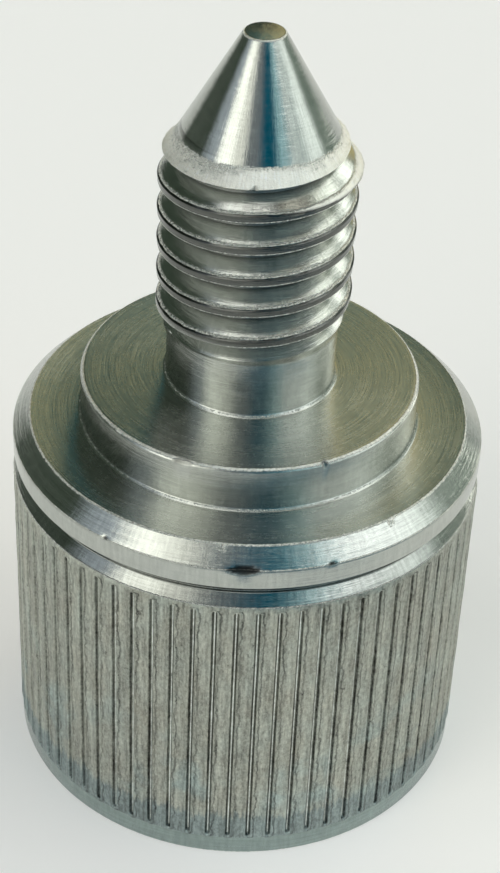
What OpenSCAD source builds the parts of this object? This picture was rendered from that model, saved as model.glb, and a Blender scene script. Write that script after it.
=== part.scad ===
// Thumb screw, turned from one bar of steel: knurled head, boss, relieved neck,
// coarse right-hand thread and cone point. Millimetres.
// Origin at the centre of the head's end face; +Z runs along the axis to the point.
// The screw stands on its head, so nothing has to be turned to rest it.

/* [Head] */
// Diameter of the plain bands of the head
head_d = 19.8; // [12:0.1:40]
// Height of the head, end face to shoulder
head_h = 16.62; // [8:0.01:40]
// Leg of the 45 degree chamfer round the shoulder
head_chamfer = 0.73; // [0.2:0.01:2]
// Leg of the edge break round the end face
end_break = 0.1; // [0.05:0.01:0.5]

/* [Groove under the shoulder] */
// Width of the plain land between chamfer and groove
land_w = 0.89; // [0.3:0.01:3]
// Width of the V groove across its mouth
groove_w = 0.98; // [0.3:0.01:3]
// Flat at the bottom of the V groove
groove_floor = 0.06; // [0.02:0.01:0.5]
// Width of the plain strip between V groove and knurl
strip_w = 0.16; // [0.1:0.01:2]

/* [Knurl] */
// Grooves round the head
knurl_n = 72; // [24:1:120]
// Rise of the knurled band over the plain bands
knurl_rise = 0.06; // [0.02:0.01:0.3]
// Depth of a knurl groove from the raised band
knurl_depth = 0.26; // [0.05:0.01:1]
// Width of a knurl groove across its mouth
knurl_mouth = 0.34; // [0.1:0.01:1]
// Width of the flat floor of a knurl groove
knurl_floor = 0.1; // [0.02:0.01:0.5]
// Height of the plain rim below the knurl
rim_h = 1.0; // [0.4:0.05:5]
// Turn of the first groove from the -Y side
knurl_turn = 4.47; // [0:0.01:15]

/* [Boss] */
// Diameter of the boss on the shoulder
boss_d = 14.1; // [8:0.1:30]
// Height of the boss over the shoulder
boss_h = 1.98; // [0.5:0.01:6]
// Leg of the edge break round the boss
boss_break = 0.14; // [0.05:0.01:0.5]

/* [Neck] */
// Diameter of the plain neck
neck_d = 7.02; // [4:0.01:16]
// Length of the neck, boss to the first thread
neck_l = 2.5; // [2.2:0.05:12]
// Fillet-like bevel at the foot of the neck
neck_foot = 0.06; // [0.02:0.01:0.3]
// Slope of the run-out shoulder from the axis, in degrees
shoulder_angle = 30; // [15:1:60]

/* [Thread] */
// Major diameter, 5/16 inch
thread_d = 7.9375; // [5:0.0001:20]
// Threads per inch
thread_tpi = 18; // [8:1:40]
// Depth of the thread groove
thread_depth = 0.84; // [0.3:0.01:2]
// Flat at the bottom of the thread groove
thread_root = 0.1; // [0.04:0.01:0.4]
// Length of full diameter, run-out shoulder to cone
thread_l = 6.38; // [3:0.01:40]
// Height of the groove centre on the -Y side, over the cone's edge
thread_lead = -0.92; // [-2:0.01:2]
// Turn over which the last groove runs out, in degrees
runout_turn = 130; // [40:5:180]

/* [Point] */
// Diameter of the flat on the point
tip_d = 1.61; // [0.4:0.01:6]
// Included angle of the cone
cone_angle = 59; // [30:1:120]
// Leg of the edge break round the flat
tip_break = 0.08; // [0.02:0.01:0.3]

/* [Hidden] */
$fn = 96;
eps = 0.01;
head_r = head_d / 2;
knurl_r = head_r + knurl_rise;
// heights, from the end face up
z_land = head_h - head_chamfer;
z_lip = z_land - land_w;
z_band = z_lip - groove_w;
z_knurl = z_band - strip_w;
groove_depth = (groove_w - groove_floor) / 2;
z_boss = head_h + boss_h;
z_neck = z_boss + neck_l;
neck_r = neck_d / 2;
thread_r = thread_d / 2;
shoulder_h = (thread_r - neck_r) / tan(shoulder_angle);
z_full = z_neck + shoulder_h;
z_cone = z_full + thread_l;
cone_k = tan(cone_angle / 2);
tip_r = tip_d / 2;
z_tip = z_cone + (thread_r - tip_r) / cone_k;
pitch = 25.4 / thread_tpi;
root_r = thread_r - thread_depth;

// The bar as the lathe leaves it: one half section, turned about the axis.
module blank() {
    rotate_extrude()
        polygon([
            [0, 0],
            [head_r - end_break, 0],
            [head_r, end_break],
            [head_r, rim_h],
            [knurl_r, rim_h],
            [knurl_r, z_knurl],
            [head_r, z_knurl],
            [head_r, z_band],
            [head_r - groove_depth, z_band + groove_depth],
            [head_r - groove_depth, z_lip - groove_depth],
            [head_r, z_lip],
            [head_r, z_land],
            [head_r - head_chamfer, head_h],
            [boss_d / 2, head_h],
            [boss_d / 2, z_boss - boss_break],
            [boss_d / 2 - boss_break, z_boss],
            [neck_r + neck_foot, z_boss],
            [neck_r, z_boss + neck_foot],
            [neck_r, z_neck],
            [thread_r, z_full],
            [thread_r, z_cone],
            [tip_r + tip_break * cone_k, z_tip - tip_break],
            [tip_r - tip_break, z_tip],
            [0, z_tip]
        ]);
}

// One knurl groove: a flat-floored V along the axis, closed by sloping ends.
module knurl_groove() {
    flare = (knurl_mouth - knurl_floor) / 2;
    run = knurl_depth + eps;
    slope = flare * (knurl_depth + 1) / knurl_depth;
    intersection() {
        translate([0, 0, rim_h - eps])
            linear_extrude(height = z_knurl - rim_h + 2 * eps)
                polygon([
                    [knurl_r - knurl_depth, -knurl_floor / 2],
                    [knurl_r + 1, -knurl_floor / 2 - slope],
                    [knurl_r + 1, knurl_floor / 2 + slope],
                    [knurl_r - knurl_depth, knurl_floor / 2]
                ]);
        rotate([90, 0, 0])
            linear_extrude(height = 4, center = true)
                polygon([
                    [knurl_r - knurl_depth - eps, rim_h + run],
                    [knurl_r + eps, rim_h],
                    [knurl_r + 1, rim_h],
                    [knurl_r + 1, z_knurl],
                    [knurl_r + eps, z_knurl],
                    [knurl_r - knurl_depth - eps, z_knurl - run]
                ]);
    }
}

module knurl() {
    for (i = [0 : knurl_n - 1])
        rotate([0, 0, knurl_turn - 90 + i * 360 / knurl_n])
            knurl_groove();
}

// The thread groove: a 60 degree V swept down a right-hand helix. It starts in
// the air above the cone and lifts out of the metal over runout_turn at its foot.
module thread_groove() {
    seg = 36;
    half_root = thread_root / 2;
    half_out = 0.49 * pitch;
    out = (half_out - half_root) / tan(30) - thread_depth;
    z_start = z_cone + thread_lead;
    up = ceil((thread_depth / cone_k + pitch) / pitch) + 1;
    down = (z_start - z_neck) / pitch + 0.21;
    n0 = -round(up * seg);
    n1 = round(down * seg);
    last = runout_turn / 360 * seg;
    function lift(i) = i < n1 - last ? 0
        : (thread_depth + 0.12) * pow((i - n1 + last) / last, 1.6);
    function ring(i) = let(
            a = -90 - i * 360 / seg,
            z = z_start - i * pitch / seg,
            r0 = root_r + lift(i),
            r1 = thread_r + out + lift(i))
        [[r0 * cos(a), r0 * sin(a), z - half_root],
         [r1 * cos(a), r1 * sin(a), z - half_out],
         [r1 * cos(a), r1 * sin(a), z + half_out],
         [r0 * cos(a), r0 * sin(a), z + half_root]];
    points = [for (i = [n0 : n1]) each ring(i)];
    m = n1 - n0;
    sides = [for (j = [0 : m - 1], k = [0 : 3])
        each let(a = 4 * j + k, b = 4 * j + (k + 1) % 4, c = b + 4, d = a + 4)
            [[a, c, b], [a, d, c]]];
    caps = [[0, 2, 3], [0, 1, 2], [4 * m, 4 * m + 2, 4 * m + 1], [4 * m, 4 * m + 3, 4 * m + 2]];
    polyhedron(points = points, faces = concat(sides, caps), convexity = 10);
}

module thumb_screw() {
    color([0.62, 0.64, 0.62])
        difference() {
            blank();
            knurl();
            thread_groove();
        }
}

thumb_screw();
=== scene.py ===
import math

import bpy
from mathutils import Matrix, Vector


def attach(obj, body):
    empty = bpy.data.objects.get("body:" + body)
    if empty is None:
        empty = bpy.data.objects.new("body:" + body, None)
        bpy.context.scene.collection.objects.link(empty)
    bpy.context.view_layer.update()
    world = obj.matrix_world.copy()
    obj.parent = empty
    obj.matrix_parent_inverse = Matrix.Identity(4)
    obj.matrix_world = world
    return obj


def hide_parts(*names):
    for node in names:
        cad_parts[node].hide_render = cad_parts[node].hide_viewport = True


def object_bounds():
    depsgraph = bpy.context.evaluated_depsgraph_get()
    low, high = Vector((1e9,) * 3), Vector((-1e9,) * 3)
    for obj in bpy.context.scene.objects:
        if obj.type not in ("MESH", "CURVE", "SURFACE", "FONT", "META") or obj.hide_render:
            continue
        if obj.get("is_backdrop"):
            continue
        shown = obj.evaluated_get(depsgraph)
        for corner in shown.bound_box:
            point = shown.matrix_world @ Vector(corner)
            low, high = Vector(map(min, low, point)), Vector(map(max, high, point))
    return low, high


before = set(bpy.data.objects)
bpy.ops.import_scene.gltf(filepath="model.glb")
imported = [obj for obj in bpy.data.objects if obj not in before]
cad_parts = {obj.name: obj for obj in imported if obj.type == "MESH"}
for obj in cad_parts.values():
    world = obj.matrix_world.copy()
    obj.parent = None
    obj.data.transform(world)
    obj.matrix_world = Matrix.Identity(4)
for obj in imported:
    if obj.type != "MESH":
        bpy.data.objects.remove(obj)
cad_box = [list(corner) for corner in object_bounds()]


# ---------------------------------------------------------------- the camera
# A close, steep view down on the screw as it stands on its head, with a long
# lens. Distances are in metres from the middle of the head's end face.
camera_place = (0, -0.071143, 0.067971)
look_down, turn_right, roll = (math.radians(a) for a in (36.662, 0.0806, 2.547))

camera_data = bpy.data.cameras.new("camera")
camera_data.sensor_width = 36
camera_data.lens = 85.77
camera_data.clip_start, camera_data.clip_end = 0.005, 20
camera = bpy.data.objects.new("camera", camera_data)
bpy.context.scene.collection.objects.link(camera)
bpy.context.scene.camera = camera

ahead = Vector((0, math.cos(look_down), -math.sin(look_down)))
right = Vector((1, 0, 0))
ahead, right = (
    ahead * math.cos(turn_right) + right * math.sin(turn_right),
    right * math.cos(turn_right) - ahead * math.sin(turn_right),
)
up = right.cross(ahead)
right, up = (
    right * math.cos(roll) + up * math.sin(roll),
    up * math.cos(roll) - right * math.sin(roll),
)
axes = Matrix((right, up, -ahead)).transposed().to_4x4()
camera.matrix_world = Matrix.Translation(camera_place) @ axes


# ----------------------------------------------------- the turned blank
# One bar of bright steel, turned to a head with a V groove and a chamfer, a
# boss, a relieved neck and a cone point. The lathe tree spins the half section
# below; the band where the thread comes is left open for the threading tree.
def node(tree, kind, inputs=None, **settings):
    """A node with its settings, and with a value or a link for each input."""
    made = tree.nodes.new(kind)
    for key, value in settings.items():
        setattr(made, key, value)
    for key, value in (inputs or {}).items():
        slot = made.inputs[key]
        if isinstance(value, Num):
            value = value.socket
        if isinstance(value, bpy.types.NodeSocket):
            tree.links.new(value, slot)
        else:
            slot.default_value = value
    return made


class Num:
    """A number field of a node tree, written with ordinary arithmetic."""

    def __init__(self, tree, socket):
        self.tree, self.socket = tree, socket

    def math(self, operation, *others):
        inputs = dict(enumerate((self, *others)))
        made = node(self.tree, "ShaderNodeMath", inputs, operation=operation)
        return Num(self.tree, made.outputs[0])

    def __add__(self, other):
        return self.math("ADD", other)

    def __sub__(self, other):
        return self.math("SUBTRACT", other)

    def __mul__(self, other):
        return self.math("MULTIPLY", other)

    def __truediv__(self, other):
        return self.math("DIVIDE", other)

    def __neg__(self):
        return self * -1.0

    def __abs__(self):
        return self.math("ABSOLUTE")

    def __round__(self):
        return self.math("ROUND")

    __radd__ = __add__
    __rmul__ = __mul__

    def __rsub__(self, other):
        return -self + other

    def min(self, other):
        return self.math("MINIMUM", other)

    def max(self, other):
        return self.math("MAXIMUM", other)

    def above(self, edge):
        return self.math("GREATER_THAN", edge)

    def power(self, exponent):
        return self.math("POWER", exponent)

    def floor(self):
        return self.math("FLOOR")

    def part_turn(self):
        """A number of turns without its whole turns, from -0.5 to 0.5."""
        return self - (self + 0.5).floor()

    def ramp(self, low, high, start=0.0, end=1.0):
        """Straight from start at low to end at high, level outside."""
        ends = {"From Min": low, "From Max": high, "To Min": start, "To Max": end}
        made = node(self.tree, "ShaderNodeMapRange", {"Value": self, **ends})
        return Num(self.tree, made.outputs["Result"])

    def past(self, edge, soft=0.02):
        """Nothing before the edge and one past it, soft on both sides."""
        return self.ramp(edge - soft, edge + soft)

    def short_of(self, edge, soft=0.02):
        """One before the edge and nothing past it, soft on both sides."""
        return self.ramp(edge + soft, edge - soft)

    def smooth(self, low, high, start=0.0, end=1.0):
        """As ramp, with rounded ends."""
        made = self.ramp(low, high, start, end)
        made.socket.node.interpolation_type = "SMOOTHSTEP"
        return made

    def bump(self, middle, width):
        """One at the middle, falling smoothly to nothing a width away."""
        return abs(self - middle).smooth(0.0, width, 1.0, 0.0)

    def firm(self):
        """A noise, spread over the whole range from 0 to 1."""
        return self.ramp(0.32, 0.68)

    def curve(self, points):
        """A value read off straight lines from point to point, level outside."""
        low, high = points[0][0], points[-1][0]
        made = node(self.tree, "ShaderNodeFloatCurve", {"Value": self.ramp(low, high)})
        table = made.mapping.curves[0]
        made.mapping.use_clip = False
        while len(table.points) < len(points):
            table.points.new(0.5, 0.5)
        for knot, (x, y) in zip(table.points, points):
            knot.location = ((x - low) / (high - low), y)
            knot.handle_type = "VECTOR"
        made.mapping.update()
        return Num(self.tree, made.outputs["Value"])


def xyz(tree, x, y, z):
    """A vector of three numbers."""
    return node(tree, "ShaderNodeCombineXYZ", {0: x, 1: y, 2: z}).outputs[0]


def split(tree, vector):
    """The three numbers of a vector."""
    made = node(tree, "ShaderNodeSeparateXYZ", {0: vector})
    return [Num(tree, part) for part in made.outputs]


def noise(tree, vector, detail=2.0, roughness=0.5, seed=0.0):
    """Noise from 0 to 1 with a fixed seed."""
    grain = {"Scale": 1.0, "Detail": detail, "Roughness": roughness}
    inputs = {"Vector": vector, "W": seed, **grain}
    made = node(tree, "ShaderNodeTexNoise", inputs, noise_dimensions="4D")
    return Num(tree, made.outputs[0])


def point(tree):
    """Where each corner of the mesh is."""
    return node(tree, "GeometryNodeInputPosition").outputs[0]


def move(tree, geometry, x, y, z):
    """Puts each corner of the mesh at the place given."""
    places = {"Geometry": geometry, "Position": xyz(tree, x, y, z)}
    return node(tree, "GeometryNodeSetPosition", places).outputs[0]


def attribute(tree, name):
    """A value kept on the mesh."""
    kind = "GeometryNodeInputNamedAttribute"
    made = node(tree, kind, {"Name": name}, data_type="FLOAT")
    return Num(tree, made.outputs["Attribute"])


def store(tree, geometry, name, value):
    """Keeps a value on the mesh."""
    return node(
        tree,
        "GeometryNodeStoreNamedAttribute",
        {"Geometry": geometry, "Name": name, "Value": value},
        data_type="FLOAT",
        domain="POINT",
    ).outputs["Geometry"]


def sheet(tree, across, up):
    """A flat sheet of squares, with the column and the row of its corners."""
    reach = {"Size X": across, "Size Y": up, "Vertices X": across + 1, "Vertices Y": up + 1}
    grid = node(tree, "GeometryNodeMeshGrid", reach)
    x, y, _ = split(tree, point(tree))
    return grid.outputs["Mesh"], round(x + across * 0.5), y + up * 0.5


def new_tree(name, sizes):
    """A geometry tree with a named input for each size, and its two ends."""
    tree = bpy.data.node_groups.new(name, "GeometryNodeTree")
    tree.is_modifier = True
    face = tree.interface
    for way in ("INPUT", "OUTPUT"):
        face.new_socket("Geometry", in_out=way, socket_type="NodeSocketGeometry")
    for label in sizes:
        face.new_socket(label, in_out="INPUT", socket_type="NodeSocketFloat")
    start, end = tree.nodes.new("NodeGroupInput"), tree.nodes.new("NodeGroupOutput")
    size = {label: Num(tree, start.outputs[label]) for label in sizes}
    return tree, start.outputs["Geometry"], end.inputs["Geometry"], size


def use_tree(piece, tree, sizes):
    """Puts the tree on the piece as a modifier, each input set by its socket."""
    modifier = piece.modifiers.new(tree.name, "NODES")
    modifier.node_group = tree
    for item in tree.interface.items_tree:
        if item.in_out == "INPUT" and item.name in sizes:
            modifier[item.identifier] = float(sizes[item.name])


# sizes are in millimetres, and the last step of the thread turns them to metres
head_r, head_h = 9.90, 16.62
boss_r, boss_top = 7.05, 18.60
neck_r = 3.51
pitch = 25.4 / 18
major_r = 3.969
cone_slope = math.tan(math.radians(29.5))
cone_foot = 28.275
tip_r = 0.806
tip_z = cone_foot + (major_r - tip_r) / cone_slope
first_root = 20.303  # height of the groove's middle on the -Y side, lowest turn
turn_columns = 192  # columns in a turn of the thread
thread_bottom = first_root - pitch * 4 / turn_columns
thread_top = first_root + pitch * (6 + 164 / turn_columns)
knurl_low, knurl_high = 1.03, 13.74  # the ends of the grooves
groove_foot, groove_floor = 13.98, 14.52  # where the V groove starts, and its bottom
land_foot, land_top = 15.00, 15.79


def zone(merged, places, knurled=0):
    """Rows of the half section: radius, height, columns merged into one, 1 on the knurled band,
    and how bright the edge is rubbed, with a painted glint, which a place may give last."""
    return [(r, z, merged, knurled, *(rub_and_glint or [0])) for r, z, *rub_and_glint in places]


# the rows crowd where the grooves of the knurl end
knurl_rows = (
    [knurl_low + s for s in (-0.09, -0.02, 0.03, 0.09, 0.16, 0.25, 0.42)]
    + [2.0 + 0.675 * i for i in range(17)]
    + [knurl_high - s for s in (0.50, 0.34, 0.23, 0.16, 0.10, 0.05, 0.0, -0.06)]
)
end_face = zone(6, [(0, 0), (5.0, 0)]) + zone(2, [(9.3, 0), (9.80, 0)])
plain_rim = zone(2, [(9.872, 0.028, 0.6), (head_r, 0.10), (head_r, 0.78)])
knurled_band = zone(1, [(head_r, z) for z in knurl_rows], knurled=1)
knurled_band += zone(1, [(head_r, 13.95, 0.2)])
v_groove = zone(
    2,
    [
        (9.886, 13.99, 0.5),
        (9.86, 14.022, 0.1),
        (9.52, 14.38),
        (9.49, 14.415),
        (9.485, 14.455),
        (9.425, 14.485),
        (9.42, groove_floor),
        (9.875, 14.975),
    ],
)
land = zone(
    2,
    [
        (head_r, 15.01),
        (head_r, 15.62),
        (head_r, 15.70),
        (head_r, land_top),
        (9.897, 15.868),
        (9.883, 15.897, 0.6),
    ],
)
chamfer = zone(
    2,
    [
        (9.86, 15.925),
        (9.79, 15.995),
        (9.71, 16.08),
        (9.52, 16.27),
        (9.24, 16.55),
        (9.205, 16.588, 0.45),
        (9.17, 16.615, 0.6),
        (9.145, 16.629, 0.5),
    ],
)
head_face = zone(2, [(9.11, head_h), (7.17, head_h)])
boss = zone(
    2,
    [
        (7.08, 16.675, 0.3),
        (boss_r, 16.72),
        (boss_r, 17.5),
        (boss_r, 18.3),
        (7.045, 18.46),
        (7.01, 18.52, 0.2),
        (6.965, 18.568, 0.8),
        (6.92, 18.598, 0.7),
        (6.88, 18.605),
        (6.78, boss_top),
    ],
)
neck = zone(
    6,
    [
        (3.64, boss_top),
        (3.55, 18.655, 0.3),
        (neck_r, 18.72),
        (neck_r, 19.3),
        (neck_r, thread_bottom),
    ],
)
cone_heights = (thread_top, 30.9, 31.9, 32.9, 33.5)
cone_point = zone(6, [(major_r - (z - cone_foot) * cone_slope, z) for z in cone_heights])
cone_point += zone(
    6,
    [
        (tip_r + 0.05, tip_z - 0.088),
        (tip_r + 0.02, tip_z - 0.042, 0.6),
        (tip_r - 0.02, tip_z - 0.012, 0.6),
        (tip_r - 0.07, tip_z),
        (0, tip_z),
    ],
)
section = end_face + plain_rim + knurled_band + v_groove + land + chamfer
section += head_face + boss + neck
open_row = len(section) - 1  # the thread goes between this row and the next
section += cone_point

blank_mesh = bpy.data.meshes.new("blank")
blank_mesh.from_pydata([(row[0], 0, row[1]) for row in section], [], [])
for label, place in (("merged", 2), ("knurled", 3), ("wear_and_glint", 4)):
    marks = blank_mesh.attributes.new(label, "FLOAT", "POINT")
    marks.data.foreach_set("value", [row[place] for row in section])
blank = bpy.data.objects.new("thumb_screw_finished", blank_mesh)
bpy.context.scene.collection.objects.link(blank)

columns = 6 * turn_columns  # round the whole head, before any are merged
lathe_sizes = {"Columns": columns, "Rows": len(section), "Open row": open_row}
lathe, geometry_in, geometry_out, size = new_tree("turn the blank", lathe_sizes)
flat, column, row = sheet(lathe, size["Columns"], size["Rows"] - 1.0)
# take away the edges that lead from the open row to the next one
across_gap = 1.0 - abs(row - size["Open row"] - 0.5).above(0.25)
opened = node(
    lathe,
    "GeometryNodeDeleteGeometry",
    {"Geometry": flat, "Selection": across_gap},
    domain="EDGE",
    mode="EDGE_FACE",
)
row = round(row)


def from_section(value, data_type="FLOAT"):
    """A value of the half section, read at the corner's own row."""
    return node(
        lathe,
        "GeometryNodeSampleIndex",
        {"Geometry": geometry_in, "Index": row, "Value": value},
        data_type=data_type,
        domain="POINT",
    ).outputs["Value"]


merged, knurled, wear_and_glint = (
    Num(lathe, from_section(attribute(lathe, label)))
    for label in ("merged", "knurled", "wear_and_glint")
)
turned_r, _, turned_z = split(lathe, from_section(point(lathe), "FLOAT_VECTOR"))
column = round(column / merged) * merged
turned = opened.outputs["Geometry"]
for label, value in (
    ("column", column),
    ("knurled", knurled),
    ("angle", column / size["Columns"] * math.tau),
    ("wear_and_glint", wear_and_glint),
    ("painted_shade", wear_and_glint * 0.0),
):
    turned = store(lathe, turned, label, value)
lathe.links.new(move(lathe, turned, turned_r, 0.0, turned_z), geometry_out)
use_tree(blank, lathe, lathe_sizes)


# ----------------------------------------------------------- the knurl
# A straight knurl, rolled in by a toothed wheel: each tooth leaves a narrow
# groove with a round end, and pushes up a lip of metal on both sides of it.
# The lips are uneven, and they wrap round the ends of the grooves as arches.
knurl_sizes = {
    "Grooves": 72,
    "Columns": columns,
    "Low end": knurl_low,
    "High end": knurl_high,
    "Groove depth": 0.115,
    "Lip height": 0.06,
    "Waviness": 1.0,
}
knurl, geometry_in, geometry_out, size = new_tree("roll the knurl", knurl_sizes)
r, _, z = split(knurl, point(knurl))
knurled = attribute(knurl, "knurled")
columns_each = size["Columns"] / size["Grooves"]
column = attribute(knurl, "column")
groove = (column / columns_each + 0.5).floor()
step = column - groove * columns_each  # -8 to 8 columns from the groove's middle
bent = groove * math.tau / size["Grooves"]
groove = groove.math("MODULO", size["Grooves"])
# how far each column lies from the middle: they crowd on its walls and lips
beside = [0, 0.022, 0.05, 0.08, 0.115, 0.16, 0.23, 0.32, 0.432]
across = abs(step).curve(list(enumerate(beside)))
side = step.math("SIGN")
sway = noise(
    knurl, xyz(knurl, groove * 3.7, side * 11.0, z * 0.8), detail=3.0, roughness=0.6, seed=1.5
)
sway = (sway - 0.5) * size["Waviness"]
on_lip = across.ramp(0.08, 0.23) * across.ramp(beside[-1], 0.30)
lateral = side * across + side * on_lip * sway * 0.16
end_radius = 0.12
beyond_top = (z - (size["High end"] - end_radius)).max(0.0)
beyond_foot = (size["Low end"] + end_radius - z).max(0.0)
beyond = beyond_top + beyond_foot
away = (across * across + beyond * beyond).math("SQRT")
uneven = noise(
    knurl, xyz(knurl, groove * 9.3, side * 4.0, z * 1.1), detail=3.0, roughness=0.65, seed=8.0
)
lip = size["Lip height"] * (uneven * 2.4 - 0.6).max(0.1)
wall = away.ramp(0.026, 0.10, -1.0, 0.0) * size["Groove depth"]
crown = lip * away.ramp(0.08, 0.13) * away.ramp(0.22, 0.29, 1.0, 0.2)
bent = bent + lateral / head_r
plain = attribute(knurl, "angle")
rolled = store(knurl, geometry_in, "angle", plain + (bent - plain) * knurled)
rolled = store(knurl, rolled, "from groove", away * knurled + (1.0 - knurled))
rolled = store(knurl, rolled, "groove side", side)
knurl.links.new(move(knurl, rolled, r + (wall + crown) * knurled, 0.0, z), geometry_out)
use_tree(blank, knurl, knurl_sizes)


# ---------------------------------------------------------- the thread
# A 5/16-18 right-hand thread, cut with a die: a 60 degree groove that starts
# in the cone and runs out into the relieved neck. The crests are a little
# ragged where the die tore them. The mesh is one long strip wound up the
# screw, one turn wide, so that every crest edge is a clean line of corners.
thread_sizes = {
    "Pitch": pitch,
    "Major radius": major_r,
    "Neck radius": neck_r,
    "Thread depth": 0.84,
    "Half root": 0.05,
    "Lowest root": first_root,
    "Bottom": thread_bottom,
    "Top": thread_top,
    "Turn columns": turn_columns,
    "Cone foot": cone_foot,
    "Cone slope": cone_slope,
    "Run out start": 0.694,
    "Run out end": 0.356,
    "Raggedness": 1.0,
    "Knurl turn": math.radians(4.47),
}
thread, geometry_in, geometry_out, size = new_tree("cut the thread", thread_sizes)
major, depth = size["Major radius"], size["Thread depth"]
half_angle = math.radians(30)  # of the groove
# how far up the strip each of its rows lies: they crowd at the edges of the crest
across_rows = [
    0, 0.0354, 0.12, 0.22, 0.31, 0.362, 0.379, 0.390, 0.41, 0.46, 0.52, 0.565,
    0.583, 0.597, 0.609, 0.621, 0.636, 0.658, 0.69, 0.75, 0.81, 0.87, 0.92, 0.9646,
    1.0,
]


def column_at(height):
    """The column whose groove has its middle at this height."""
    return round((height - size["Lowest root"]) / size["Pitch"] * size["Turn columns"])


def strip_edge(turn):
    """Height of the strip's edge, level once past the ends of the thread."""
    height = size["Lowest root"] + size["Pitch"] * turn
    return height.max(size["Bottom"]).min(size["Top"])


start_column = column_at(size["Bottom"]) - size["Turn columns"]
strip_columns = column_at(size["Top"]) - start_column
strip, column, row = sheet(thread, strip_columns, len(across_rows) - 1)
turns = (column + start_column) / size["Turn columns"]  # whole on the -Y side
fraction = row.curve(list(enumerate(across_rows)))
low_edge, high_edge = strip_edge(turns), strip_edge(turns + 1.0)
z = low_edge + (high_edge - low_edge) * fraction
upper_half = fraction.above(0.5)
groove_turn = turns + upper_half
from_root = abs(z - (size["Lowest root"] + size["Pitch"] * groove_turn))
around = turns.part_turn()

# the die leaves the crest burnished at its lower edge and torn at its upper one
torn = noise(thread, xyz(thread, turns * 55.0, 2.0, 5.0), detail=4.0, roughness=0.7, seed=3.0)
lap = noise(thread, xyz(thread, turns * 34.0, 7.0, 1.0), detail=3.0, seed=6.0)
up_crest = fraction + (torn - 0.5) * 0.035 * fraction.bump(0.61, 0.08)
crest_shape = up_crest.curve(
    [
        (0.35, 0.5),
        (0.370, 0.35),
        (0.384, 0.22),
        (0.40, 0.20),
        (0.50, 0.35),
        (0.575, 0.46),
        (0.594, 0.40),
        (0.602, 0.18),
        (0.612, 0.50),
        (0.623, 0.62),
        (0.645, 0.54),
        (0.67, 0.5),
    ]
)
coarser_below = turns.ramp(1.0, 5.5, 1.0, 0.6)
ragged = (
    (crest_shape - 0.5) * 0.16 * (lap * 1.4 - 0.05).max(0.3)
    + (torn - 0.5) * 0.09 * fraction.bump(0.615, 0.05)
    + (torn - 0.5) * 0.03 * fraction.bump(0.379, 0.05)
) * coarser_below * size["Raggedness"]
run_out = groove_turn.ramp(size["Run out start"], size["Run out end"]).power(1.4)
flank = (from_root - size["Half root"]).max(0.0) / math.tan(half_angle)
groove = major - depth + flank + run_out * (depth + 0.15)

# the blank under the thread: neck, shoulder, full diameter, cone
dip = abs(around + 0.333).smooth(0.06, 0.22, 0.72, 0.0)
bulge = (z - (21.12 - dip)).ramp(0.0, 0.35) * dip.ramp(0.0, 0.5) * 0.13
shoulder_curve = [(21.0, 0.0), (21.12, 0.0), (21.7, 0.22), (21.9, 0.459), (22.0, 0.459)]
shoulder = size["Neck radius"] + z.curve(shoulder_curve).max(bulge)
cone = major - (z - size["Cone foot"]) * size["Cone slope"]
body = shoulder.min(major).min(cone)
on_crest = (groove - major).ramp(-0.10, 0.0)
past_run_out = z.ramp(21.9, 22.3)
in_thread = past_run_out * (cone - major).ramp(-0.05, 0.0)

# metal pushed up and torn where the last groove cuts into the cone
root_below = size["Lowest root"] + size["Pitch"] * turns
cone_at_root = major - (root_below - size["Cone foot"]) * size["Cone slope"]
edge_rise = (cone_at_root - major + depth + 0.087) / (
    size["Cone slope"] + 1.0 / math.tan(half_angle)
)
over_edge = z - root_below - edge_rise
on_cone = (
    (major - cone).ramp(-0.03, 0.02)
    * cone_at_root.ramp(3.17, 3.26)
    * (groove - cone).ramp(-0.01, 0.05)
    * (size["Top"] - z).ramp(0.02, 0.3)
)
pressed = (from_root - 0.23).max(0.0) * upper_half * past_run_out
burr = over_edge.ramp(-0.05, 0.02) * over_edge.ramp(0.16, 0.04) * on_cone
flare = over_edge.ramp(0.95, 0.0).power(3.0) * over_edge.ramp(-0.05, 0.0) * on_cone
r = body.min(groove - pressed * pressed * 0.9) + ragged * on_crest * in_thread
r = r + flare * 0.17 + burr * (torn - 0.38) * 0.18

# where the metal is rubbed bright, with a painted glint on the crest edges, and painted shade
# over the crest flat and its folded edge
rub_and_glint = up_crest.curve(
    [
        (0.35, 0.0),
        (0.372, 0.0),
        (0.384, 0.75),
        (0.40, 0.5),
        (0.42, 0.0),
        (0.608, 0.0),
        (0.620, 0.7),
        (0.636, 0.6),
        (0.658, 0.35),
        (0.70, 0.0),
    ]
)
crumbs = noise(
    thread, xyz(thread, turns * 60.0, z * 7.0, 3.0), detail=4.0, roughness=0.7, seed=4.0
)
# painted highlight on the torn metal at the foot of the cone, strongest at the front
torn_and_glint = over_edge.ramp(-0.06, 0.0) * over_edge.ramp(1.15, 0.25) * on_cone
torn_and_glint = torn_and_glint * (crumbs * 1.5 + 0.05 + around.bump(0.015, 0.11) * 0.5)
painted_shade = up_crest.curve(
    [
        (0.36, 0.0),
        (0.385, 0.0),
        (0.40, 0.8),
        (0.57, 0.9),
        (0.585, 0.9),
        (0.595, 1.0),
        (0.606, 1.0),
        (0.618, 0.0),
        (0.65, 0.0),
    ]
)
# painted shade in the roots of the thread
root_shade = from_root.ramp(0.16, 0.04) * 0.6 * z.ramp(21.6, 21.9)
strip = store(thread, strip, "angle", turns * math.tau)
strip = store(thread, strip, "wear_and_glint", (rub_and_glint * in_thread).max(torn_and_glint))
strip = store(thread, strip, "painted_shade", (painted_shade * in_thread).max(root_shade))
joined = node(thread, "GeometryNodeJoinGeometry")
thread.links.new(geometry_in, joined.inputs[0])
thread.links.new(move(thread, strip, r, 0.0, z), joined.inputs[0])

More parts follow.
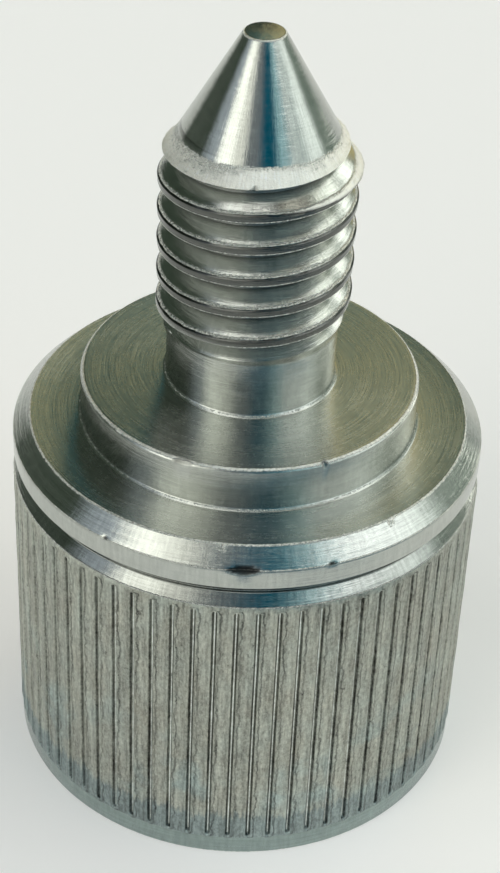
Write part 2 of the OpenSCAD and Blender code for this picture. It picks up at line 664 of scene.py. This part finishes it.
# wind the flat sheet round the axis, close its seams, and turn it to metres
r, _, z = split(thread, point(thread))
angle = attribute(thread, "angle")
sine, cosine = angle.math("SINE"), angle.math("COSINE")
chipped = noise(
    thread, xyz(thread, sine * 40.0, cosine * 40.0, z * 6.0), detail=3.0, roughness=0.7, seed=2.0
)


def turns_from(bearing):
    """How far round from a bearing in degrees, in turns from -0.5 to 0.5."""
    return (angle / math.tau - bearing / 360.0).part_turn()


# knocks on the edges, each a small facet cut across the corner: degrees round
# from the -Y side, half its width, height and radius where the facet starts,
# how fast it leans in, how much it bends, and how far up it reaches
knocks = [
    (0.5, 4.5, 15.62, 9.906, 0.42, 0.105, 0.5),
    (21.0, 1.3, 15.78, 9.90, 0.50, 0.05, 0.5),
    (-33.0, 1.0, 15.80, 9.90, 0.55, 0.04, 0.5),
    (-20.5, 4.3, 18.36, 7.05, 0.75, 0.10, 0.35),
    (26.2, 1.1, 18.34, 7.05, 0.80, 0.10, 0.35),
    (-2.0, 2.6, 28.85, 3.50, 0.05, 0.20, 0.6),
]
whole = r
for knock, half_width, foot, start, lean, bend, reach in knocks:
    off = turns_from(knock) * (360.0 / half_width)
    facet = start - (z - foot) * lean + off * off * bend + (chipped - 0.5) * 0.035
    r = r.min(facet + (abs(z - foot - reach / 2) - reach / 2).max(0.0) * 50.0)

# and the places where an edge is burred over and given a painted glint: degrees round, half
# width, height, half height
shines = [
    (-46.5, 3.2, 18.54, 0.058),
    (-9.0, 7.0, 18.56, 0.038),
    (-4.8, 1.8, 16.57, 0.042),
    (39.0, 1.4, 16.57, 0.042),
    (11.0, 5.0, 15.90, 0.025),
    (-22.0, 6.0, 15.90, 0.025),
]
shine = attribute(thread, "wear_and_glint")
for spot, half_width, middle, half_height in shines:
    off = abs(turns_from(spot) * 360.0)
    share = off.smooth(half_width, half_width * 0.5) * z.bump(middle, half_height)
    shine = shine.max(share * (chipped * 3.0 - 0.7).max(0.0).min(1.0))
marked = store(thread, joined.outputs[0], "knocked", (whole - r).ramp(0.010, 0.030))
marked = store(thread, marked, "wear_and_glint", shine)
angle = angle - math.pi / 2 + size["Knurl turn"] * (1.0 - z.above(14.0))
wound = move(thread, marked, r * angle.math("COSINE"), r * angle.math("SINE"), z)
seams = {"Geometry": wound, "Distance": 0.0006}
closed = node(thread, "GeometryNodeMergeByDistance", seams).outputs["Geometry"]
mm = 0.001
metres = {"Geometry": closed, "Scale": (mm, mm, mm)}
thread.links.new(node(thread, "GeometryNodeTransform", metres).outputs[0], geometry_out)
use_tree(blank, thread, thread_sizes)


# --------------------------------------------------------- the bright steel
# Bare steel as it comes off the lathe. Everything turned carries fine rings
# that spread a highlight along the axis; the rolled knurl is matt. Patterns are
# laid in millimetres, and the finishing tree gives each face its material.
def steel(name, anisotropy, turn):
    """A steel finish: its material, tree, shader and the place on the screw."""
    made = bpy.data.materials.new(name)
    made.use_nodes = True
    tree = made.node_tree
    shader = tree.nodes["Principled BSDF"]
    shader.inputs["Metallic"].default_value = 1.0
    shader.inputs["Anisotropic"].default_value = anisotropy
    shader.inputs["Anisotropic Rotation"].default_value = turn
    metres = split(tree, node(tree, "ShaderNodeTexCoord").outputs["Object"])
    x, y, z = (number * 1000 for number in metres)
    tree.links.new(xyz(tree, -y, x, 0.0), shader.inputs["Tangent"])
    return made, tree, shader, x, y, z


def kept(name):
    """A value kept on the mesh, for the steel in hand."""
    return Num(finish, node(finish, "ShaderNodeAttribute", attribute_name=name).outputs["Fac"])


def blend(share, first, second):
    """A colour between the two."""
    first, second = (
        (*colour, 1) if isinstance(colour, tuple) else colour
        for colour in (first, second)
    )
    mix = {"Factor": share, 6: first, 7: second}
    return node(finish, "ShaderNodeMix", mix, data_type="RGBA", clamp_factor=True).outputs[2]


def tint(tree, colour, share):
    """A colour made darker or lighter."""
    parts = {0: colour, "Scale": share}
    return node(tree, "ShaderNodeVectorMath", parts, operation="SCALE").outputs[0]


def mottled(across, up, seed, detail=3.0, roughness=0.6):
    """Noise as fine across and up the screw as the two numbers say."""
    vector = xyz(finish, x * across, y * across, z * up)
    return noise(finish, vector, detail=detail, roughness=roughness, seed=seed)


def ringed(across, along, seed, detail=3.0, roughness=0.6):
    """Noise drawn out along the rings that the lathe leaves."""
    vector = xyz(finish, slant * across, round_x * along, round_y * along)
    return noise(finish, vector, detail=detail, roughness=roughness, seed=seed).firm()


def surface(colour, rough, relief):
    """Gives the steel in hand its colour, roughness and relief in millimetres."""
    finish.links.new(colour, shader.inputs["Base Color"])
    finish.links.new(rough.socket, shader.inputs["Roughness"])
    bumps = {"Height": relief, "Distance": mm, "Strength": 1.0}
    finish.links.new(node(finish, "ShaderNodeBump", bumps).outputs[0], shader.inputs["Normal"])


turned_steel, finish, shader, x, y, z = steel("turned steel", anisotropy=0.85, turn=0.25)
out_from_axis = (x * x + y * y).math("SQRT")
bearing = y.math("ARCTAN2", x)
slant = out_from_axis - z  # runs across the rings on every turned face
round_x, round_y = bearing.math("COSINE"), bearing.math("SINE")
rings = ringed(9.0, 3.0, seed=1.0, detail=4.0, roughness=0.7)
fine_rings = ringed(22.0, 2.0, seed=7.0, roughness=0.7)
broad_rings = ringed(2.5, 1.5, seed=2.0)
chatter = xyz(finish, round_x * 60.0, round_y * 60.0, z * 0.9)
chatter = noise(finish, chatter, detail=3.0, roughness=0.6, seed=6.0).firm()
mottle = mottled(2.0, 2.0, seed=3.0, detail=5.0, roughness=0.75).firm()
grain = mottled(9.0, 9.0, seed=4.0, roughness=0.8)

# rubbed and glinting metal breaks up into grains, less on the cone; painted shade darkens folds,
# thread roots and knocks
wear_and_glint = kept("wear_and_glint")
torn_share = (1.0 - z.ramp(28.0, 28.6) * 0.5) * 0.7
wear_and_glint = (wear_and_glint + (grain.firm() - 0.5) * torn_share * wear_and_glint.ramp(0.0, 0.3)).ramp(0.25, 0.75)
# painted shade in the knocks, less on the boss and the cone
painted_shade = kept("painted_shade").max(kept("knocked") * z.ramp(17.0, 18.0, 1.06, 0.6))
# head face, boss and neck were turned with a coarser feed than chamfer and cone
coarse = z.ramp(16.58, 16.61) * z.ramp(21.4, 20.6)
on_head_face = abs(z - head_h).ramp(0.008, 0.004)
on_boss_top = abs(z - boss_top).ramp(0.006, 0.003)
faced = on_head_face.max(on_boss_top)
groove_wall = z.past(groove_foot, 0.01) * z.short_of(groove_floor)
on_land = z.past(land_foot) * z.short_of(land_top)
rough = (
    0.16
    + coarse * 0.04
    + faced * 0.06
    - groove_wall * 0.04
    - z.ramp(21.6, 22.0) * z.ramp(28.6, 28.2) * 0.03
    + (rings - 0.5) * 0.07
    + (broad_rings - 0.5) * 0.05
    + (mottle - 0.5) * 0.05
    + wear_and_glint * 0.22
)
# painted shade on the upper wall of the V groove, which faces down
upper_wall_shade = z.past(14.51, 0.03) * z.short_of(land_foot)
# the rings are fainter on the cone and on the land
ring_share = 1.0 - z.ramp(28.0, 28.8) * 0.6 - on_land * 0.6
# painted shade also darkens the lower wall of the V groove a little
shade = (
    1.0
    - upper_wall_shade * 0.65
    - groove_wall * 0.22
    + on_land * 0.1
    + (mottle - 0.5) * 0.16
    + (rings - 0.5) * ring_share * 0.24
    + (fine_rings - 0.5) * ring_share * 0.18
    + (chatter - 0.5) * (1.0 - faced) * 0.2
) * (1.0 - painted_shade * 0.85)
# the rim below the knurl is darker and bluer
darker_rim = z.ramp(1.0, 0.92) * out_from_axis.ramp(9.7, 9.88)
bare = blend(darker_rim, (0.45, 0.468, 0.438), (0.30, 0.365, 0.345))
# the rubbed edges and painted glints are near white
bare = blend(wear_and_glint, bare, (0.97, 0.96, 0.90))
relief = (
    rings * ring_share * 0.004
    + fine_rings * ring_share * 0.0015
    + broad_rings * 0.004
    + chatter * 0.001
    + mottle * 0.002
    + grain * wear_and_glint * 0.09
)
surface(tint(finish, bare, shade), rough.max(0.11).min(0.6), relief)

rolled_steel, finish, shader, x, y, z = steel("rolled steel", anisotropy=0.6, turn=0.0)
streaks = mottled(7.0, 0.7, seed=5.0, detail=4.0, roughness=0.7).firm()
blotches = mottled(0.9, 0.5, seed=6.0, detail=4.0).firm()
pitting = mottled(8.0, 5.0, seed=7.0, roughness=0.75).firm()
wander = mottled(1.8, 1.3, seed=8.0, detail=4.0, roughness=0.7).firm()
bands = mottled(2.6, 0.14, seed=9.0).firm()
pits = mottled(4.0, 3.0, seed=11.0, detail=2.0).ramp(0.66, 0.72)
stained = mottled(0.45, 0.5, seed=12.0, roughness=0.5).firm()
stained = stained.ramp(0.6, 0.9) * z.ramp(8.0, 5.0)
# painted shade, darker and bluer low on the knurl
low_shade = (z + (blotches - 0.5) * 0.5 + (streaks - 0.5) * 0.7).smooth(2.5, 2.05)
# painted highlight along the floor of each groove; painted shade on its walls, weaker on the
# left, and along the fold at the edge of each lip, mostly on its right
from_groove = kept("from groove")
right_side = kept("groove side") * 0.5 + 0.5
floor_glint = from_groove.ramp(0.032, 0.012)
# painted shade on the groove walls, weaker on the left side
wall_shade = from_groove.bump(0.07, 0.045) * x.ramp(-9.3, -6.0, 0.35, 1.0)
fold = from_groove + (wander - 0.5) * 0.20
# painted shade along the fold of each lip, heavier on its right
fold_shade = fold.bump(0.235, 0.075) * pitting.ramp(0.1, 0.6) * (0.3 + right_side * 0.7)
# how much of the fold's painted shade shows, more towards the top
fold_shade_share = bands + blotches + z.ramp(9.0, 13.0) * 0.4
fold_shade = fold_shade * fold_shade_share.ramp(0.5, 1.2, 0.4, 1.0)
# painted light: the knurl is lighter towards its left side
shade = (
    0.93
    + x.ramp(-4.0, -9.0) * 0.12
    - wall_shade * 0.66
    - fold_shade * 0.72
    - pits * 0.35
    + (streaks - 0.5) * 0.6
    + (bands - 0.5) * 0.34
    + (blotches - 0.5) * 0.24
    + (pitting - 0.5) * 0.6
) * (1.0 - low_shade * 0.06)
oil_share = blotches * 0.4 + stained * 0.6
bare = blend(oil_share, (0.45, 0.45, 0.385), (0.37, 0.44, 0.42))
bare = blend(low_shade * 0.85, bare, (0.30, 0.365, 0.365))
bare = blend(floor_glint, bare, (0.82, 0.85, 0.80))
rough = 0.40 + (streaks - 0.5) * 0.16 + (blotches - 0.5) * 0.10 - floor_glint * 0.1
relief = streaks * 0.012 + pitting * 0.014 - fold_shade * 0.02
surface(tint(finish, bare, shade.max(0.1)), rough.max(0.2), relief)

finishing_sizes = {
    "Sharp angle": math.radians(28),
    "Knurl bottom": 0.90 * mm,
    "Knurl top": 13.95 * mm,
    "Knurl inside": 9.0 * mm,
}
finishing, geometry_in, geometry_out, size = new_tree("finish the screw", finishing_sizes)
between_faces = node(finishing, "GeometryNodeInputMeshEdgeAngle").outputs["Unsigned Angle"]
sharp = Num(finishing, between_faces).above(size["Sharp angle"])
x, y, z = split(finishing, point(finishing))
in_band = z.above(size["Knurl bottom"]) * (1.0 - z.above(size["Knurl top"]))
outside = (x * x + y * y).math("SQRT").above(size["Knurl inside"])
shading = "GeometryNodeSetShadeSmooth"
done = node(finishing, shading, {"Geometry": geometry_in, "Shade Smooth": True}, domain="FACE")
creases = {"Geometry": done.outputs[0], "Selection": sharp, "Shade Smooth": False}
done = node(finishing, shading, creases, domain="EDGE")
done = node(finishing, "GeometryNodeRealizeInstances", {"Geometry": done.outputs[0]})
for selection, material in ((True, turned_steel), (in_band * outside, rolled_steel)):
    look = {"Geometry": done.outputs[0], "Selection": selection, "Material": material}
    done = node(finishing, "GeometryNodeSetMaterial", look)
finishing.links.new(done.outputs[0], geometry_out)
use_tree(blank, finishing, finishing_sizes)

evaluated = blank.evaluated_get(bpy.context.evaluated_depsgraph_get())
finished = bpy.data.meshes.new_from_object(evaluated)
blank.modifiers.clear()
blank.data = finished

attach(blank, "root")
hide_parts("thumb_screw")


# --------------------------------------------------------- the studio
# A plain pale floor, three cards that the steel mirrors, and a world of lit
# panels round the screw in place of lamps. Distances are in metres.
def flat_piece(name, finish_name, corners):
    """A flat piece of four corners, and the tree of its own material."""
    mesh = bpy.data.meshes.new(name)
    mesh.from_pydata(corners, [], [(0, 1, 2, 3)])
    piece = bpy.data.objects.new(name, mesh)
    bpy.context.scene.collection.objects.link(piece)
    material = bpy.data.materials.new(finish_name)
    material.use_nodes = True
    mesh.materials.append(material)
    return piece, material.node_tree


# a hundredth of a millimetre under the head, so that the two share no plane
floor_half, floor_z = 1.5, -0.00001
square = ((-1, -1), (1, -1), (1, 1), (-1, 1))
corners = [(x * floor_half, y * floor_half, floor_z) for x, y in square]
floor, pale = flat_piece("floor", "pale floor", corners)
shader = pale.nodes["Principled BSDF"]
shader.inputs["Base Color"].default_value = (0.78, 0.765, 0.755, 1)
shader.inputs["Roughness"].default_value = 0.9
shader.inputs["Specular IOR Level"].default_value = 0.0
shader.inputs["Emission Color"].default_value = (1.0, 1.0, 1.0, 1)
# the floor is seen, and mirrored, a little lighter than it lights the screw
rays = node(pale, "ShaderNodeLightPath").outputs
camera_ray, glossy_ray, clear_ray = (
    Num(pale, rays["Is %s Ray" % kind]) for kind in ("Camera", "Glossy", "Transmission")
)
seen = camera_ray.max(glossy_ray).max(clear_ray)
pale.links.new((seen * 0.22).socket, shader.inputs["Emission Strength"])

# cards that only show in the steel: near edge from and to, the way the card
# goes on from there, and its glow
cards = {
    "white, lying on the right": (
        (0.055, 0.003, 0.001), (0.230, 0.012, 0.001), (-0.005, 0.040, 0), (3.4, 3.4, 3.1)
    ),
    "dark, standing on the left": (
        (-0.160, 0.120, 0), (-0.160, -0.055, 0), (0, 0, 0.080), (0.06, 0.08, 0.06)
    ),
    "blue, lying in front": (
        (0.005, -0.110, 0.001), (0.110, -0.040, 0.001), (-0.030, 0.055, 0), (0.12, 0.22, 0.28)
    ),
}
for number, (*places, glow) in enumerate(cards.values()):
    first, second, onward = (Vector(place) for place in places)
    far = second + onward * (second.length / first.length)
    name = "card %d" % number
    card, lit = flat_piece(name, name, [first, second, far, first + onward])
    shader = lit.nodes["Principled BSDF"]
    shader.inputs["Base Color"].default_value = (0.02, 0.02, 0.02, 1)
    shader.inputs["Emission Color"].default_value = (*glow, 1)
    shader.inputs["Emission Strength"].default_value = 1.0
    card.visible_camera = card.visible_diffuse = card.visible_shadow = False
    card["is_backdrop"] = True
floor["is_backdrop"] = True

world = bpy.data.worlds.new("studio")
bpy.context.scene.world = world
world.use_nodes = True
studio = world.node_tree
generated = node(studio, "ShaderNodeTexCoord").outputs["Generated"]
east, north, high = split(studio, generated)
# degrees round from the camera's side, to the right, and degrees up
bearing = east.math("ARCTAN2", -north) * math.degrees(1)
height = high.math("ARCSINE") * math.degrees(1)

# panel: from and to bearing, soft edge, from and to height, soft edge, colour
panels = {
    "dark room on the left": (-180, -84, 8, -90, 62, 8, (0.06, 0.08, 0.06)),
    "lilac wall": (-84, -62, 6, -90, 60, 10, (0.52, 0.58, 0.64)),
    "left window": (-62, -40, 3, -90, 58, 6, (2.1, 2.1, 1.95)),
    "pale frame": (-40, -22, 5, -90, 60, 6, (1.25, 1.25, 1.15)),
    "grey wall": (-22, 2, 8, -90, 66, 6, (0.24, 0.27, 0.29)),
    "dark teal wall": (2, 28, 6, -90, 66, 6, (0.0, 0.11, 0.18)),
    "blue grey wall": (28, 46, 6, -90, 62, 6, (0.42, 0.68, 0.74)),
    "right window": (44, 96, 4, 34, 50, 5, (2.4, 2.45, 2.45)),
    "right sill, front": (48, 74, 6, -90, 34, 5, (0.70, 0.80, 0.78)),
    "right sill, back": (74, 98, 6, -90, 34, 5, (1.35, 1.45, 1.4)),
    "grey wall on the right": (98, 146, 8, 12, 64, 10, (0.42, 0.48, 0.43)),
    "foot of that wall": (98, 146, 8, -90, 12, 8, (0.16, 0.22, 0.18)),
    "window at the right, behind": (124, 148, 4, 24, 42, 4, (1.9, 1.9, 1.8)),
    "ochre wall at the back": (146, 177, 4, -90, 56, 10, (0.64, 0.56, 0.30)),
    "back skylight": (140, 220, 16, 62, 76, 8, (1.6, 1.6, 1.5)),
    "strip lamp overhead, left": (-98, -36, 12, 62, 75, 4, (2.3, 2.3, 2.2)),
    "strip lamp overhead, front": (-44, 16, 12, 71, 82, 4, (2.3, 2.3, 2.2)),
    "lamp overhead on the right": (40, 90, 10, 65, 76, 5, (1.25, 1.2, 1.05)),
    "lower lamp on the right": (90, 110, 6, 51, 63, 5, (1.6, 1.6, 1.4)),
    "tall window end": (104, 126, 6, 42, 54, 5, (2.1, 2.1, 1.95)),
    "blue screen at the back": (176, 183, 5, 31, 58, 6, (0.02, 0.22, 0.28)),
    "ceiling": (-180, 180, 0, 66, 91, 8, (0.16, 0.18, 0.17)),
}
total = None
for left, right_end, soft, bottom, top, fade, colour in panels.values():
    middle, half_width = (left + right_end) / 2, (right_end - left) / 2
    off = abs(((bearing - middle) / 360.0).part_turn()) * 360.0
    share = off.smooth(half_width - soft / 2, half_width + soft / 2, 1.0, 0.0)
    if bottom > -90:
        share = share * height.smooth(bottom - fade / 2, bottom + fade / 2)
    share = share * height.smooth(top - fade / 2, top + fade / 2, 1.0, 0.0)
    light = tint(studio, colour, share)
    if total is not None:
        both = {0: total, 1: light}
        light = node(studio, "ShaderNodeVectorMath", both, operation="ADD").outputs[0]
    total = light
backing = studio.nodes["Background"]
studio.links.new(total, backing.inputs["Color"])
backing.inputs["Strength"].default_value = 1.12

bpy.context.scene.view_settings.view_transform = "Standard"

visual_box = [list(corner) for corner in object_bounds()]
{"cad": cad_box, "visual": visual_box}
